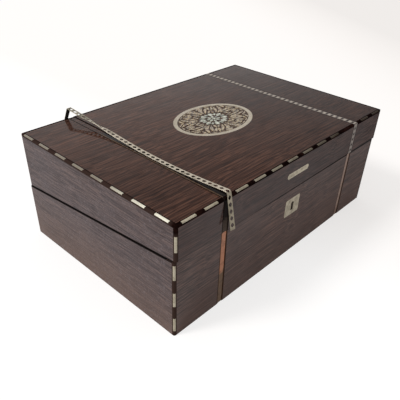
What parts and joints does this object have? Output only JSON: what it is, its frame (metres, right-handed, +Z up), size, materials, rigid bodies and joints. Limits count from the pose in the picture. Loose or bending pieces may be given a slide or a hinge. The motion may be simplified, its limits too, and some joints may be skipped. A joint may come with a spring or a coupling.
{
  "type": "writing slope",
  "caption": "Veneered writing slope that opens on back hinges to a slanted leather writing surface, with pen tray, ink bottles, lock, pierced metal bands and shell dashes.",
  "frame": {"origin": "middle of the underside, where the box rests", "axes": "+X to the right along the lock side, -Y out of the lock side, +Z up through the lid"},
  "size_m": [0.3558, 0.2487, 0.143],
  "materials": {
    "rosewood": "rosewood veneer, worn polish",
    "inside_wood": "plain mahogany",
    "dark_string": "polished dark stringing",
    "pearl": "polished shell",
    "band_metal": "tarnished nickel silver",
    "plate_metal": "tarnished nickel silver",
    "abalone": "iridescent shell",
    "roundel_ground": "dark worn ground",
    "lock_brass": "dull brass",
    "hinge_brass": "worn brass",
    "bottle_glass": "clear pressed glass",
    "slope_leather": "worn green leather",
    "ribbon_tab": "woven ribbon"
  },
  "bodies": {
    "base": {"base_front": "rosewood", "base_back": "rosewood", "base_left_end": "rosewood", "base_right_end": "rosewood", "base_bottom": "inside_wood", "base_string_left": "dark_string", "base_string_right": "dark_string", "base_pearls": "pearl", "base_band_lines": "dark_string", "escutcheon": "plate_metal", "lock_case": "lock_brass", "lock_plate": "lock_brass", "base_screws": "hinge_brass", "well_partition": "inside_wood", "ink_divider_left": "inside_wood", "ink_divider_right": "inside_wood", "ink_floors": "inside_wood", "pen_tray": "inside_wood", "pen_tray_rests": "inside_wood", "ink_bottle_left": "bottle_glass", "ink_bottle_right": "bottle_glass", "ink_bottle_caps": "hinge_brass", "base_flap_ledges": "inside_wood", "base_hinge_leaf_left": "hinge_brass", "base_hinge_leaf_right": "hinge_brass", "hinge_pins": "hinge_brass", "base_flap_hinge_leaves": "hinge_brass"},
    "lid": {"lid_top": "rosewood", "lid_front": "rosewood", "lid_back": "rosewood", "lid_left_end": "rosewood", "lid_right_end": "rosewood", "lid_edge_string": "dark_string", "lid_corner_strings": "dark_string", "lid_pearls_left": "pearl", "lid_pearls_front": "pearl", "lid_band_lines": "dark_string", "band_right": "band_metal", "band_loose": "band_metal", "roundel_ring": "band_metal", "roundel_ground": "roundel_ground", "roundel_scrolls": "abalone", "roundel_rosette": "abalone", "nameplate": "plate_metal", "strike_plate": "lock_brass", "lid_screws": "hinge_brass", "lid_hinge_leaf_left": "hinge_brass", "lid_hinge_leaf_right": "hinge_brass", "lid_flap_ledges": "inside_wood", "lid_flap_hinge_leaves": "hinge_brass"},
    "base_flap": {"base_flap_board": "inside_wood", "base_flap_leather": "slope_leather", "base_flap_hinge_plates": "hinge_brass", "base_flap_tab": "ribbon_tab"},
    "lid_flap": {"lid_flap_board": "inside_wood", "lid_flap_leather": "slope_leather", "lid_flap_hinge_plates": "hinge_brass", "lid_flap_tab": "ribbon_tab"},
    "lock_bolt": {"lock_bolt": "lock_brass"}
  },
  "joints": [
    {"name": "lid_hinge", "type": "hinge", "parent": "base", "child": "lid", "pos_m": [0, 0.1188, 0.0645], "axis": [-1, 0, 0], "range_deg": [0, 180]},
    {"name": "base_flap_hinge", "type": "hinge", "parent": "base", "child": "base_flap", "pos_m": [0, 0.1074, 0.06384], "axis": [-1, 0, 0], "range_deg": [0, 60]},
    {"name": "lid_flap_hinge", "type": "hinge", "parent": "lid", "child": "lid_flap", "pos_m": [0, 0.10707, 0.0677], "axis": [1, 0, 0], "range_deg": [0, 60]},
    {"name": "bolt_slide", "type": "slide", "parent": "base", "child": "lock_bolt", "axis": [1, 0, 0], "range_m": [0, 0.005]}
  ],
  "couplings": [
    {"joint": "base_flap_hinge", "follows": "lid_hinge", "ratio": 0.3333},
    {"joint": "lid_flap_hinge", "follows": "lid_hinge", "ratio": 0.3333}
  ]
}
